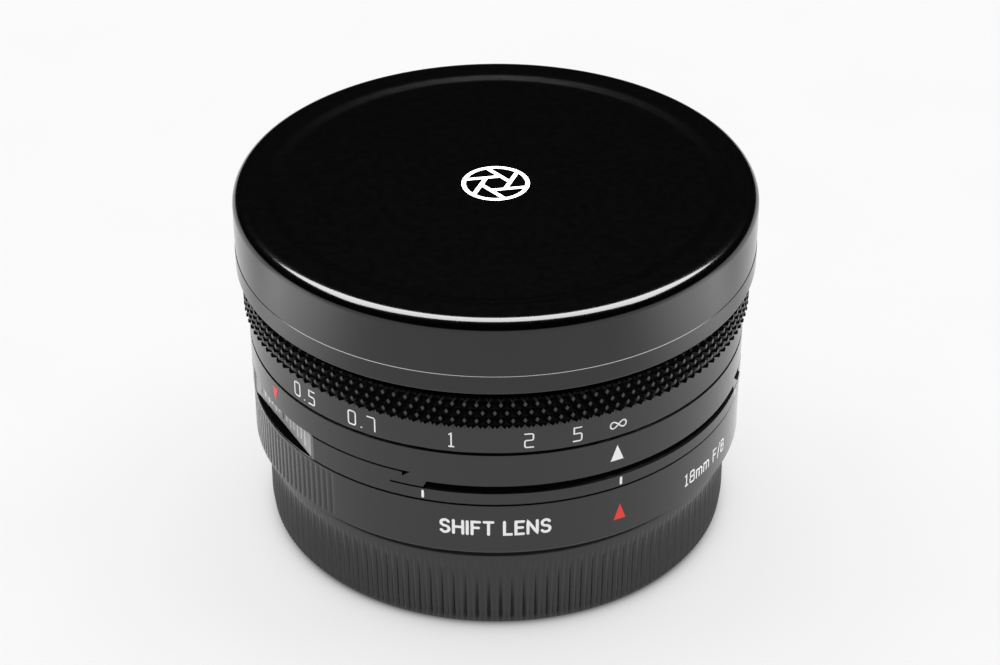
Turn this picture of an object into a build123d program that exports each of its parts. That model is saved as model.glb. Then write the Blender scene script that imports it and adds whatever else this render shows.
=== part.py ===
from build123d import *
import os
from math import sqrt

# A compact 18 mm f/8 wide shift lens with both caps on, in millimetres.
# +Z is the optical axis, towards the subject. The origin is the centre of the rear cap's
# underside. The painted index marks face -Y, and the shift scale faces -X.

# Heights of the parting lines, measured from the underside of the rear cap
Z_FLANGE = 11.5         # seat of the bayonet flange
Z_TURN = 18.4           # top of the fixed mount body
Z_WAY = 20.25           # floor of the dovetail way
Z_RELIEF = 21.1         # underside of the stage between its two slide lands
Z_RAIL = 21.95          # top of the dovetail rails
Z_STAGE = 25.45         # top of the shift stage
Z_KNURL = 28.85         # lower edge of the focus grip
Z_FOCUS_TOP = 32.9      # top of the focus ring
Z_CAP = 34.15           # lower edge of the front cap
Z_CAP_SHOULDER = 42.0   # where the cap's side meets its rounded shoulder
Z_TOP = 43.4            # top of the front cap

# Outer radii
R_REAR_CAP = 27.6
R_BODY = 29.1
R_STAGE = 29.2
R_GRIP = 29.75
R_FRONT_BARREL = 28.6
R_CAP = 30.4

# Fits and finishes
RUNNING = 0.04          # clearance of a running fit, per side
END_PLAY = 0.05         # axial clearance of a turning ring
SMALL_BEVEL = 0.2       # broken edge at each parting line
FOOT_BEVEL = 0.45       # larger one under the mount body
SCREW_HOLE = 0.6        # radius of the small screws' threads

# Motion
SHIFT_TRAVEL = 6.0      # to each side of the middle
FOCUS_TURN = 84.0       # degrees from infinity to the near stop


def outline(*points):
    """A closed outline of (radius, height) points in the XZ plane."""
    with BuildSketch(Plane.XZ) as profile:
        with BuildLine():
            Polyline(*points, close=True)
        make_face()
    return profile.sketch


def band(inner, outer, low, high):
    """A plain rectangular ring section."""
    return outline((inner, low), (outer, low), (outer, high), (inner, high))


def turned(label, *points):
    """A piece turned on the optical axis from one closed outline."""
    with BuildPart() as piece:
        revolve(outline(*points), axis=Axis.Z)
    piece.part.label = label
    return piece


def turned_ring(label, inner, outer, low, high):
    """A plain ring with a rectangular section."""
    return turned(label, (inner, low), (outer, low), (outer, high), (inner, high))


def sag(curve, radius):
    """Depth of a spherical surface at a radius; it has the curve's sign."""
    depth = abs(curve) - sqrt(curve**2 - radius**2)
    return depth if curve > 0 else -depth


def glass(label, radius, low, high, top_curve, low_curve, top_clear, low_clear):
    """A glass element. A positive curve bulges towards the subject. The flat lands at the rim
    start at the clear radii, at the heights low and high."""
    top_apex = high + sag(top_curve, top_clear)
    low_apex = low + sag(low_curve, low_clear)
    top_middle = top_apex - sag(top_curve, top_clear / 2)
    low_middle = low_apex - sag(low_curve, low_clear / 2)
    with BuildPart() as element:
        with BuildSketch(Plane.XZ):
            with BuildLine():
                Line((0, low_apex), (0, top_apex))
                ThreePointArc((0, top_apex), (top_clear / 2, top_middle), (top_clear, high))
                Polyline((top_clear, high), (radius, high), (radius, low), (low_clear, low))
                ThreePointArc((low_clear, low), (low_clear / 2, low_middle), (0, low_apex))
            make_face()
        revolve(axis=Axis.Z)
    element.part.label = label
    return element


def countersunk_screw(head, thread, sink, length):
    """A slotted screw, head face at z = 0 and thread towards -Z."""
    with BuildPart() as screw:
        revolve(
            outline((0, 0), (head, 0), (thread, -sink), (thread, -length), (0, -length)),
            axis=Axis.Z,
        )
        with BuildSketch(Plane.XY):
            Rectangle(2 * head, head / 3)
        extrude(amount=-sink / 2, mode=Mode.SUBTRACT)
    return screw.part


def screw_set(label, screw, circle, count, start, height):
    """Screws on a circle about the optical axis, heads up."""
    with BuildPart(Plane.XY.offset(height)) as screws:
        with PolarLocations(circle, count, start_angle=start):
            add(screw)
    screws.part.label = label
    return screws


def coil_spring(label, x, y, low, height, radius, wire, turns):
    """A compression spring on a vertical axis."""
    with BuildPart() as spring:
        with BuildLine(Plane.XY.offset(low)):
            coil = Helix(height / turns, height, radius, center=(x, y, 0))
        with BuildSketch(Plane(origin=coil @ 0, z_dir=coil % 0)):
            Circle(wire)
        sweep(path=coil)
    spring.part.label = label
    return spring


# ---------------------------------------------------------------- rear cap
REAR_CAP_TOP = Z_FLANGE - 0.1
SHOULDER_RISE = 1.3     # height and width of the slope round the top edge
SHOULDER_DROP = 0.6
REAR_CAP_FLOOR = 1.6
REAR_CAP_BORE = 24.6
RIB_COUNT = 126
RIB_BOTTOM = 1.3
RIB_TOP = 8.7
RIB_DEPTH = 0.3
LUG_COUNT = 3
LUG_ANGLE = 44.0
FIRST_LUG = 90.0
CAP_LUG_RADIUS = 22.1
CAP_LUG_LOW = 9.0
CAP_LUG_HIGH = 10.2

with BuildPart() as rear_cap:
    revolve(
        outline(
            (0, 0.4), (21.0, 0.4), (21.4, 0), (R_REAR_CAP - 1.4, 0), (R_REAR_CAP - 0.5, 0.35),
            (R_REAR_CAP, 1.1),
            (R_REAR_CAP, REAR_CAP_TOP - SHOULDER_RISE), (R_REAR_CAP - SHOULDER_DROP, REAR_CAP_TOP),
            (REAR_CAP_BORE, REAR_CAP_TOP), (REAR_CAP_BORE, REAR_CAP_FLOOR), (0, REAR_CAP_FLOOR),
        ),
        axis=Axis.Z,
    )
    # bayonet lugs inside the bore
    with BuildSketch(Plane.XY.offset(CAP_LUG_LOW)):
        for lug in range(LUG_COUNT):
            middle = FIRST_LUG + lug * 360 / LUG_COUNT
            with BuildLine():
                rim = CenterArc((0, 0), REAR_CAP_BORE + 0.3, middle - LUG_ANGLE / 2, LUG_ANGLE)
                tip = CenterArc((0, 0), CAP_LUG_RADIUS, middle - LUG_ANGLE / 2, LUG_ANGLE)
                Line(rim @ 0, tip @ 0)
                Line(rim @ 1, tip @ 1)
            make_face()
    extrude(amount=CAP_LUG_HIGH - CAP_LUG_LOW)
    # fine grip ribs round the outside
    with BuildSketch(Plane.XY.offset(RIB_BOTTOM)):
        with PolarLocations(R_REAR_CAP + 0.1, RIB_COUNT):
            Rectangle(2 * (RIB_DEPTH + 0.1), 0.5)
    extrude(amount=RIB_TOP - RIB_BOTTOM, mode=Mode.SUBTRACT)
rear_cap.part.label = "rear_cap"

# ---------------------------------------------------------------- fixed mount
FLANGE_THICK = 1.4
FLANGE_RADIUS = 28.5
FLANGE_SCREW_CIRCLE = 27.1
FLANGE_SCREW_HEAD = 1.2
FLANGE_SCREW_THREAD = 0.8
BEARING_BORE = 24.0 + RUNNING
RETAINER_BORE = 25.7
SHOULDER = 15.3
TUBE_OUTER = 21.9
TUBE_INNER = 20.4
TUBE_BOTTOM = 6.6
LENS_LUG_RADIUS = 22.9
LENS_LUG_LOW = 7.4
LENS_LUG_HIGH = 8.8
BAFFLE_SCREW_CIRCLE = 18.7
LEDGE_LOW = 11.9
LEDGE_BORE = 17.4
DETENT_CIRCLE = 26.9
DETENT_HOLE = 0.75
DETENT_ANGLE = 67.5
PAD_GROOVES = 25
PAD_PITCH = 1.8         # degrees between the grooves of a side grip
PAD_GROOVE_DEPTH = 0.2
PAD_LOW = Z_FLANGE + 0.75

detent_x = Vector(DETENT_CIRCLE, 0, 0).rotate(Axis.Z, DETENT_ANGLE).X
detent_y = Vector(DETENT_CIRCLE, 0, 0).rotate(Axis.Z, DETENT_ANGLE).Y
flange_top = Z_FLANGE + FLANGE_THICK

with BuildPart() as mount_body:
    revolve(
        outline(
            (FLANGE_RADIUS, Z_FLANGE), (R_BODY - FOOT_BEVEL, Z_FLANGE),
            (R_BODY, Z_FLANGE + FOOT_BEVEL), (R_BODY, Z_TURN - SMALL_BEVEL),
            (R_BODY - SMALL_BEVEL, Z_TURN), (BEARING_BORE, Z_TURN), (BEARING_BORE, SHOULDER),
            (RETAINER_BORE, SHOULDER), (RETAINER_BORE, flange_top), (FLANGE_RADIUS, flange_top),
        ),
        axis=Axis.Z,
    )
    # tapped holes for the flange screws
    with BuildSketch(Plane.XY.offset(flange_top)):
        with PolarLocations(FLANGE_SCREW_CIRCLE, 4, start_angle=45):
            Circle(FLANGE_SCREW_THREAD)
    extrude(amount=3.4, mode=Mode.SUBTRACT)
    # bore of the ball plunger
    with BuildSketch(Plane.XY.offset(flange_top)):
        with Locations((detent_x, detent_y)):
            Circle(DETENT_HOLE)
    extrude(amount=Z_TURN - flange_top, mode=Mode.SUBTRACT)
    # vertical grooves of the two side grips
    with BuildSketch(Plane.XY.offset(PAD_LOW)):
        for side in (0, 180):
            for groove in range(PAD_GROOVES):
                angle = side + (groove - (PAD_GROOVES - 1) / 2) * PAD_PITCH
                with PolarLocations(R_BODY + 0.1, 1, start_angle=angle):
                    Rectangle(2 * (PAD_GROOVE_DEPTH + 0.1), 0.42)
    extrude(amount=Z_TURN - PAD_LOW, mode=Mode.SUBTRACT)
mount_body.part.label = "mount_body"

with BuildPart() as bayonet_flange:
    revolve(
        outline(
            (TUBE_INNER, TUBE_BOTTOM), (TUBE_OUTER, TUBE_BOTTOM), (TUBE_OUTER, Z_FLANGE),
            (FLANGE_RADIUS, Z_FLANGE), (FLANGE_RADIUS, flange_top), (LEDGE_BORE, flange_top),
            (LEDGE_BORE, LEDGE_LOW), (TUBE_INNER, LEDGE_LOW),
        ),
        axis=Axis.Z,
    )
    with BuildSketch(Plane.XY.offset(LENS_LUG_LOW)):
        for lug in range(LUG_COUNT):
            middle = FIRST_LUG + lug * 360 / LUG_COUNT
            with BuildLine():
                tip = CenterArc((0, 0), LENS_LUG_RADIUS, middle - LUG_ANGLE / 2, LUG_ANGLE)
                root = CenterArc((0, 0), TUBE_OUTER - 0.3, middle - LUG_ANGLE / 2, LUG_ANGLE)
                Line(tip @ 0, root @ 0)
                Line(tip @ 1, root @ 1)
            make_face()
    extrude(amount=LENS_LUG_HIGH - LENS_LUG_LOW)
    # countersunk holes for the flange screws, seen from behind
    with Locations(Plane(origin=(0, 0, Z_FLANGE), x_dir=(1, 0, 0), z_dir=(0, 0, -1))):
        with PolarLocations(FLANGE_SCREW_CIRCLE, 4, start_angle=45):
            CounterSinkHole(FLANGE_SCREW_THREAD, FLANGE_SCREW_HEAD, FLANGE_THICK, 90)
    # lock pin hole and the tapped holes for the baffle
    with BuildSketch(Plane.XY.offset(Z_FLANGE)):
        with PolarLocations(25.2, 1, start_angle=12):
            Circle(1.3)
    extrude(amount=0.9, mode=Mode.SUBTRACT)
    with BuildSketch(Plane.XY.offset(LEDGE_LOW)):
        with PolarLocations(BAFFLE_SCREW_CIRCLE, 3, start_angle=30):
            Circle(SCREW_HOLE)
    extrude(amount=flange_top - LEDGE_LOW, mode=Mode.SUBTRACT)
bayonet_flange.part.label = "bayonet_flange"

# The flange screws enter from behind, so their heads face down
flange_screw = countersunk_screw(
    FLANGE_SCREW_HEAD, FLANGE_SCREW_THREAD, FLANGE_SCREW_HEAD - FLANGE_SCREW_THREAD, 4.4
)
rear_facing = Plane(origin=(0, 0, Z_FLANGE), x_dir=(1, 0, 0), z_dir=(0, 0, -1))
with BuildPart(rear_facing) as flange_screws:
    with PolarLocations(FLANGE_SCREW_CIRCLE, 4, start_angle=45):
        add(flange_screw)
flange_screws.part.label = "flange_screws"

BAFFLE_FLOOR = 6.9
BAFFLE_BORE = 19.3
with BuildPart() as rear_baffle:
    revolve(
        outline(
            (0, BAFFLE_FLOOR), (TUBE_INNER - RUNNING, BAFFLE_FLOOR),
            (TUBE_INNER - RUNNING, LEDGE_LOW), (BAFFLE_BORE, LEDGE_LOW),
            (BAFFLE_BORE, BAFFLE_FLOOR + 0.7), (0, BAFFLE_FLOOR + 0.7),
        ),
        axis=Axis.Z,
    )
    # bosses for the three screws
    with BuildSketch(Plane.XY.offset(BAFFLE_FLOOR)):
        with PolarLocations(BAFFLE_SCREW_CIRCLE, 3, start_angle=30):
            Circle(1.5)
    extrude(amount=LEDGE_LOW - BAFFLE_FLOOR)
    # the picture window and the screw holes
    with BuildSketch(Plane.XY.offset(BAFFLE_FLOOR)):
        RectangleRounded(31, 23, 2.5)
        with PolarLocations(BAFFLE_SCREW_CIRCLE, 3, start_angle=30):
            Circle(SCREW_HOLE)
    extrude(amount=LEDGE_LOW - BAFFLE_FLOOR, mode=Mode.SUBTRACT)
rear_baffle.part.label = "rear_baffle"

with BuildPart() as baffle_screws:
    with BuildSketch(Plane.XY.offset(BAFFLE_FLOOR)):
        with PolarLocations(BAFFLE_SCREW_CIRCLE, 3, start_angle=30):
            Circle(SCREW_HOLE)
    extrude(amount=5.8)
    with BuildSketch(Plane.XY.offset(BAFFLE_FLOOR - 0.5)):
        with PolarLocations(BAFFLE_SCREW_CIRCLE, 3, start_angle=30):
            Circle(1.1)
            Rectangle(2.4, 0.3, mode=Mode.SUBTRACT)
    extrude(amount=0.25)
    with BuildSketch(Plane.XY.offset(BAFFLE_FLOOR - 0.25)):
        with PolarLocations(BAFFLE_SCREW_CIRCLE, 3, start_angle=30):
            Circle(1.1)
    extrude(amount=0.25)
baffle_screws.part.label = "baffle_screws"

thrust_washer = turned_ring("thrust_washer", BEARING_BORE + 0.06, RETAINER_BORE - 0.05, 15.0, SHOULDER)

# Ball plunger that clicks the turning ring every 45 degrees
BALL_RADIUS = 0.7
DETENT_SCREW_TOP = 15.0
with BuildPart(Plane((detent_x, detent_y, Z_TURN))) as detent_ball:
    Sphere(BALL_RADIUS)
detent_ball.part.label = "detent_ball"
detent_spring = coil_spring(
    "detent_spring", detent_x, detent_y, DETENT_SCREW_TOP + 0.12,
    Z_TURN - BALL_RADIUS - DETENT_SCREW_TOP - 0.24, 0.5, 0.1, 5,
)
with BuildPart() as detent_screw:
    with BuildSketch(Plane.XY.offset(flange_top + 0.1)):
        with Locations((detent_x, detent_y)):
            Circle(DETENT_HOLE)
    extrude(amount=DETENT_SCREW_TOP - flange_top - 0.1)
    with BuildSketch(Plane.XY.offset(flange_top + 0.1)):
        with Locations((detent_x, detent_y)):
            Rectangle(2 * DETENT_HOLE, 0.3)
    extrude(amount=0.5, mode=Mode.SUBTRACT)
detent_screw.part.label = "detent_screw"

# ---------------------------------------------------------------- turning ring with the dovetail way
NECK_OUTER = BEARING_BORE - RUNNING
NECK_INNER = 22.6
NECK_BOTTOM = 13.5
TURN_LOW = Z_TURN + END_PLAY
WAY_HALF = 23.05        # half width of the way at its floor
DOVETAIL_SLOPE = 0.93   # inward lean of the way's walls per unit of height
WAY_MOUTH = 22.1        # the rails' sharp inner edges are cut back to this half width
FACET = 28.0            # distance of the flat that carries the shift scale
GIB_THICK = 1.2
GIB_HALF_LENGTH = 17.5
GIB_SCREW_RADIUS = 0.55
GIB_SCREW_HEIGHT = (Z_WAY + Z_RAIL) / 2

# broken outer edge of the way's floor, front and back
with BuildPart() as way_edge:
    revolve(
        outline(
            (R_STAGE - SMALL_BEVEL, Z_WAY), (R_STAGE + 0.1, Z_WAY - SMALL_BEVEL - 0.1),
            (R_STAGE + 0.1, Z_WAY),
        ),
        axis=Axis.Z,
    )
    with BuildSketch(Plane.XY.offset(Z_WAY - 1)):
        Rectangle(2 * WAY_HALF, 2 * R_STAGE + 2)
    extrude(amount=2, mode=Mode.INTERSECT)

with BuildPart() as rotator_ring:
    revolve(
        outline(
            (NECK_INNER, NECK_BOTTOM), (NECK_OUTER, NECK_BOTTOM), (NECK_OUTER, TURN_LOW),
            (R_STAGE - SMALL_BEVEL, TURN_LOW), (R_STAGE, TURN_LOW + SMALL_BEVEL),
            (R_STAGE, Z_RAIL - SMALL_BEVEL), (R_STAGE - SMALL_BEVEL, Z_RAIL), (NECK_INNER, Z_RAIL),
        ),
        axis=Axis.Z,
    )
    # the way runs fore and aft
    mouth_height = Z_WAY + (WAY_HALF - WAY_MOUTH) / DOVETAIL_SLOPE
    with BuildSketch(Plane.XZ):
        with BuildLine():
            Polyline(
                (-WAY_HALF, Z_WAY), (WAY_HALF, Z_WAY), (WAY_MOUTH, mouth_height),
                (WAY_MOUTH, Z_RAIL + 1), (-WAY_MOUTH, Z_RAIL + 1), (-WAY_MOUTH, mouth_height),
                close=True,
            )
        make_face()
    extrude(amount=R_STAGE + 1, both=True, mode=Mode.SUBTRACT)
    add(way_edge.part, mode=Mode.SUBTRACT)
    # flat for the shift scale
    with BuildSketch(Plane.XY.offset(TURN_LOW)):
        with Locations((-FACET - 2, 0)):
            Rectangle(4, 24)
    extrude(amount=Z_RAIL - TURN_LOW, mode=Mode.SUBTRACT)
    # race for the click ball, with a pit every 45 degrees
    with BuildSketch(Plane.XZ):
        with Locations((DETENT_CIRCLE, Z_TURN)):
            Circle(BALL_RADIUS + 0.06)
    revolve(axis=Axis.Z, mode=Mode.SUBTRACT)
    with BuildSketch(Plane.XY.offset(TURN_LOW)):
        with PolarLocations(DETENT_CIRCLE, 8, start_angle=DETENT_ANGLE):
            Circle(0.4)
    extrude(amount=1.1, mode=Mode.SUBTRACT)
    # holes for the gib screws
    with BuildSketch(Plane.YZ.offset(WAY_MOUTH - 0.5)):
        with Locations((-9, GIB_SCREW_HEIGHT), (0, GIB_SCREW_HEIGHT), (9, GIB_SCREW_HEIGHT)):
            Circle(GIB_SCREW_RADIUS)
    extrude(amount=10, mode=Mode.SUBTRACT)
rotator_ring.part.label = "rotator_ring"

rotator_retainer = turned_ring("rotator_retainer", NECK_OUTER, 25.55, NECK_BOTTOM, 14.95)

with BuildPart() as gib_strip:
    low = Z_WAY + 0.02
    high = Z_RAIL - 0.02
    outer_foot = WAY_HALF - (low - Z_WAY) * DOVETAIL_SLOPE - 0.01
    outer_head = WAY_HALF - (high - Z_WAY) * DOVETAIL_SLOPE - 0.01
    with BuildSketch(Plane.XZ):
        with BuildLine():
            Polyline(
                (outer_foot - GIB_THICK, low), (outer_foot, low), (outer_head, high),
                (outer_head - GIB_THICK, high), close=True,
            )
        make_face()
    extrude(amount=GIB_HALF_LENGTH, both=True)
gib_strip.part.label = "gib_strip"

with BuildPart() as gib_screws:
    with BuildSketch(Plane.YZ.offset(WAY_HALF)):
        with Locations((-9, GIB_SCREW_HEIGHT), (0, GIB_SCREW_HEIGHT), (9, GIB_SCREW_HEIGHT)):
            Circle(GIB_SCREW_RADIUS)
    extrude(amount=3.4)
    with BuildSketch(Plane.YZ.offset(WAY_HALF + 3.0)):
        with Locations((-9, GIB_SCREW_HEIGHT), (0, GIB_SCREW_HEIGHT), (9, GIB_SCREW_HEIGHT)):
            Rectangle(2 * GIB_SCREW_RADIUS, 0.25)
    extrude(amount=0.5, mode=Mode.SUBTRACT)
gib_screws.part.label = "gib_screws"

# Felt light trap in the gap under the stage
with BuildPart() as light_seal:
    revolve(band(22.8, 24.3, Z_WAY, Z_RELIEF - 0.1), axis=Axis.Z)
    with BuildSketch(Plane.XY.offset(Z_WAY)):
        Rectangle(37, 60)
    extrude(amount=1, mode=Mode.INTERSECT)
light_seal.part.label = "light_seal"

# ---------------------------------------------------------------- shift stage
LIP = Z_RAIL + END_PLAY             # underside of the stage's lips over the rails
SLIDE_LOW = Z_WAY + RUNNING
SLIDE_HALF = WAY_HALF - 0.05
RELIEF_HALF = 20.1                  # half width of the relieved underside
RELIEF_FOOT = 20.4                  # the same, at the foot of the slide lands
HUB_OUTER = NECK_INNER - SHIFT_TRAVEL - 0.1
HUB_INNER = 14.6
HUB_BOTTOM = 15.2
STOP_PIN_CIRCLE = 28.0
STOP_PIN_RADIUS = 0.6
STOP_PIN_ANGLE = 90.0
SLEEVE_SCREW_CIRCLE = 23.55
SLEEVE_SCREW_HEAD = 0.95

with BuildPart() as shift_stage:
    # the dovetail slide; its right side leaves room for the gib strip
    lean = (LIP - SLIDE_LOW) * DOVETAIL_SLOPE
    gib_side = SLIDE_HALF - GIB_THICK - 0.02
    with BuildSketch(Plane.XZ):
        with BuildLine():
            Polyline(
                (-SLIDE_HALF, SLIDE_LOW), (-RELIEF_FOOT, SLIDE_LOW), (-RELIEF_HALF, Z_RELIEF),
                (RELIEF_HALF, Z_RELIEF), (RELIEF_FOOT, SLIDE_LOW), (gib_side, SLIDE_LOW),
                (gib_side - lean, LIP), (-SLIDE_HALF + lean, LIP), close=True,
            )
        make_face()
    extrude(amount=R_STAGE + 1, both=True)
    revolve(band(0, R_STAGE, SLIDE_LOW, LIP), axis=Axis.Z, mode=Mode.INTERSECT)
    revolve(
        outline(
            (0, LIP), (R_STAGE, LIP), (R_STAGE, Z_STAGE - SMALL_BEVEL),
            (R_STAGE - SMALL_BEVEL, Z_STAGE), (0, Z_STAGE),
        ),
        axis=Axis.Z,
    )
    revolve(band(HUB_INNER - 1, HUB_OUTER, HUB_BOTTOM, Z_STAGE), axis=Axis.Z)
    with BuildSketch(Plane.XY.offset(HUB_BOTTOM)):
        Circle(HUB_INNER)
    extrude(amount=Z_STAGE - HUB_BOTTOM, mode=Mode.SUBTRACT)
    # holes for the sleeve screws and the focus stop pin
    with BuildSketch(Plane.XY.offset(Z_STAGE)):
        with PolarLocations(SLEEVE_SCREW_CIRCLE, 4, start_angle=45):
            Circle(SCREW_HOLE)
        with PolarLocations(STOP_PIN_CIRCLE, 1, start_angle=STOP_PIN_ANGLE):
            Circle(STOP_PIN_RADIUS)
    extrude(amount=-2.2, mode=Mode.SUBTRACT)
shift_stage.part.label = "shift_stage"

with BuildPart() as focus_stop_pin:
    with BuildSketch(Plane.XY.offset(Z_STAGE - 2.2)):
        with PolarLocations(STOP_PIN_CIRCLE, 1, start_angle=STOP_PIN_ANGLE):
            Circle(STOP_PIN_RADIUS)
    extrude(amount=3.3)
focus_stop_pin.part.label = "focus_stop_pin"

# Guide sleeve: keeps the carrier from turning, and its lip holds the focus nut down
SLEEVE_OUTER = 22.5
SLEEVE_INNER = 20.6
SLEEVE_TOP = 31.4
SLEEVE_BASE = 24.5
LIP_LOW = 26.35
LIP_HIGH = 27.1
LIP_RADIUS = 25.05
KEY_WIDTH = 3.0
KEY_LOW = 28.0
KEY_HIGH = 31.0
KEY_SEAT = 22.2
KEY_TIP = 24.8

with BuildPart() as guide_sleeve:
    revolve(
        outline(
            (SLEEVE_INNER, Z_STAGE), (SLEEVE_BASE, Z_STAGE), (SLEEVE_BASE, LIP_LOW),
            (LIP_RADIUS, LIP_LOW), (LIP_RADIUS, LIP_HIGH), (SLEEVE_OUTER, LIP_HIGH),
            (SLEEVE_OUTER, SLEEVE_TOP), (SLEEVE_INNER, SLEEVE_TOP),
        ),
        axis=Axis.Z,
    )
    with BuildSketch(Plane.XY.offset(LIP_HIGH)):
        with PolarLocations(SLEEVE_SCREW_CIRCLE, 4, start_angle=45):
            Circle(SLEEVE_SCREW_HEAD + 0.05)
    extrude(amount=-0.8, mode=Mode.SUBTRACT)
    with BuildSketch(Plane.XY.offset(LIP_HIGH)):
        with PolarLocations(SLEEVE_SCREW_CIRCLE, 4, start_angle=45):
            Circle(SCREW_HOLE)
    extrude(amount=-3, mode=Mode.SUBTRACT)
    # seats and tapped holes of the two guide keys
    with BuildSketch(Plane.XY.offset(KEY_LOW)):
        with PolarLocations(KEY_SEAT + 1, 2):
            Rectangle(2, KEY_WIDTH)
    extrude(amount=KEY_HIGH - KEY_LOW, mode=Mode.SUBTRACT)
    with BuildSketch(Plane.YZ):
        with Locations((0, (KEY_LOW + KEY_HIGH) / 2)):
            Circle(0.5)
    extrude(amount=KEY_TIP, both=True, mode=Mode.SUBTRACT)
guide_sleeve.part.label = "guide_sleeve"

with BuildPart() as guide_sleeve_screws:
    with BuildSketch(Plane.XY.offset(LIP_HIGH - 0.1)):
        with PolarLocations(SLEEVE_SCREW_CIRCLE, 4, start_angle=45):
            Circle(SLEEVE_SCREW_HEAD)
    extrude(amount=-0.7)
    with BuildSketch(Plane.XY.offset(LIP_HIGH - 0.8)):
        with PolarLocations(SLEEVE_SCREW_CIRCLE, 4, start_angle=45):
            Circle(SCREW_HOLE)
    extrude(amount=-2.6)
    with BuildSketch(Plane.XY.offset(LIP_HIGH - 0.1)):
        with PolarLocations(SLEEVE_SCREW_CIRCLE, 4, start_angle=45):
            Rectangle(2 * SLEEVE_SCREW_HEAD, 0.3)
    extrude(amount=-0.35, mode=Mode.SUBTRACT)
guide_sleeve_screws.part.label = "guide_sleeve_screws"

with BuildPart() as guide_keys:
    with BuildSketch(Plane.XY.offset(KEY_LOW)):
        with PolarLocations((KEY_SEAT + KEY_TIP) / 2, 2):
            Rectangle(KEY_TIP - KEY_SEAT, KEY_WIDTH)
    extrude(amount=KEY_HIGH - KEY_LOW)
    with BuildSketch(Plane.YZ):
        with Locations((0, (KEY_LOW + KEY_HIGH) / 2)):
            Circle(0.5)
    extrude(amount=KEY_TIP, both=True, mode=Mode.SUBTRACT)
    with BuildSketch(Plane.YZ.offset(KEY_TIP - 0.9), Plane.YZ.offset(-KEY_TIP)):
        with Locations((0, (KEY_LOW + KEY_HIGH) / 2)):
            Circle(0.95)
    extrude(amount=0.9, mode=Mode.SUBTRACT)
guide_keys.part.label = "guide_keys"

key_screw = countersunk_screw(0.95, 0.5, 0.01, 2.6)
with BuildPart() as guide_key_screws:
    with Locations(
        Plane(origin=(KEY_TIP - 0.1, 0, (KEY_LOW + KEY_HIGH) / 2), x_dir=(0, 1, 0), z_dir=(1, 0, 0)),
        Plane(origin=(0.1 - KEY_TIP, 0, (KEY_LOW + KEY_HIGH) / 2), x_dir=(0, 1, 0), z_dir=(-1, 0, 0)),
    ):
        add(key_screw)
guide_key_screws.part.label = "guide_key_screws"

# ---------------------------------------------------------------- focus ring
FOCUS_LOW = Z_STAGE + 0.1
NUT_OUTER = 27.0
NUT_BORE = 25.15
NUT_FOOT = 24.6
NUT_SCREW_CIRCLE = 27.65
NUT_FLANGE = 28.3

with BuildPart() as focus_ring:
    revolve(
        outline(
            (NUT_OUTER, FOCUS_LOW), (R_STAGE - SMALL_BEVEL, FOCUS_LOW),
            (R_STAGE, FOCUS_LOW + SMALL_BEVEL), (R_STAGE, Z_KNURL), (R_GRIP, Z_KNURL + 0.2),
            (R_GRIP, Z_FOCUS_TOP - 0.3), (R_GRIP - 0.3, Z_FOCUS_TOP), (NUT_FLANGE, Z_FOCUS_TOP),
            (NUT_FLANGE, Z_FOCUS_TOP - 1), (NUT_OUTER, Z_FOCUS_TOP - 1),
        ),
        axis=Axis.Z,
    )
    # arc slot that the stop pin runs in
    with BuildSketch(Plane.XY.offset(FOCUS_LOW)):
        with BuildLine(mode=Mode.PRIVATE):
            slot_path = CenterArc((0, 0), STOP_PIN_CIRCLE, STOP_PIN_ANGLE - FOCUS_TURN, FOCUS_TURN)
        SlotArc(slot_path, 2 * (STOP_PIN_RADIUS + 0.05))
    extrude(amount=1.3, mode=Mode.SUBTRACT)
    # tapped holes for the nut's screws
    with BuildSketch(Plane.XY.offset(Z_FOCUS_TOP - 1)):
        with PolarLocations(NUT_SCREW_CIRCLE, 3, start_angle=15):
            Circle(0.5)
    extrude(amount=-2.5, mode=Mode.SUBTRACT)
focus_ring.part.label = "focus_ring"

with BuildPart() as focus_nut:
    revolve(
        outline(
            (NUT_FOOT, FOCUS_LOW - 0.05), (NUT_OUTER, FOCUS_LOW - 0.05),
            (NUT_OUTER, Z_FOCUS_TOP - 1), (NUT_FLANGE, Z_FOCUS_TOP - 1),
            (NUT_FLANGE, Z_FOCUS_TOP - 0.1), (NUT_BORE, Z_FOCUS_TOP - 0.1),
            (NUT_BORE, LIP_LOW - 0.04), (NUT_FOOT, LIP_LOW - 0.04),
        ),
        axis=Axis.Z,
    )
    with BuildSketch(Plane.XY.offset(Z_FOCUS_TOP)):
        with PolarLocations(NUT_SCREW_CIRCLE, 3, start_angle=15):
            Circle(0.5)
    extrude(amount=-1.2, mode=Mode.SUBTRACT)
focus_nut.part.label = "focus_nut"

focus_nut_screws = screw_set(
    "focus_nut_screws", countersunk_screw(0.5, 0.49, 0.3, 3.0), NUT_SCREW_CIRCLE, 3, 15,
    Z_FOCUS_TOP - 0.1,
)

# ---------------------------------------------------------------- optical barrel
CARRIER_OUTER = NUT_BORE - RUNNING
CARRIER_INNER = SLEEVE_OUTER + RUNNING
CARRIER_LOW = LIP_HIGH + 0.25
BARREL_LOW = 33.05
DECK = 34.2             # top of the barrel's deck, which the lens cell hangs from
CELL_REGISTER = 14.3
BARREL_SCREW_CIRCLE = 23.8
BARREL_SCREW_HEAD = 1.1
RIM_TOP = 42.0
PLATE_LEDGE = 39.45
CELL_SCREW_CIRCLE = 16.7
CELL_FLANGE = 18.5
CELL_FLANGE_TOP = 35.2

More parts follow.
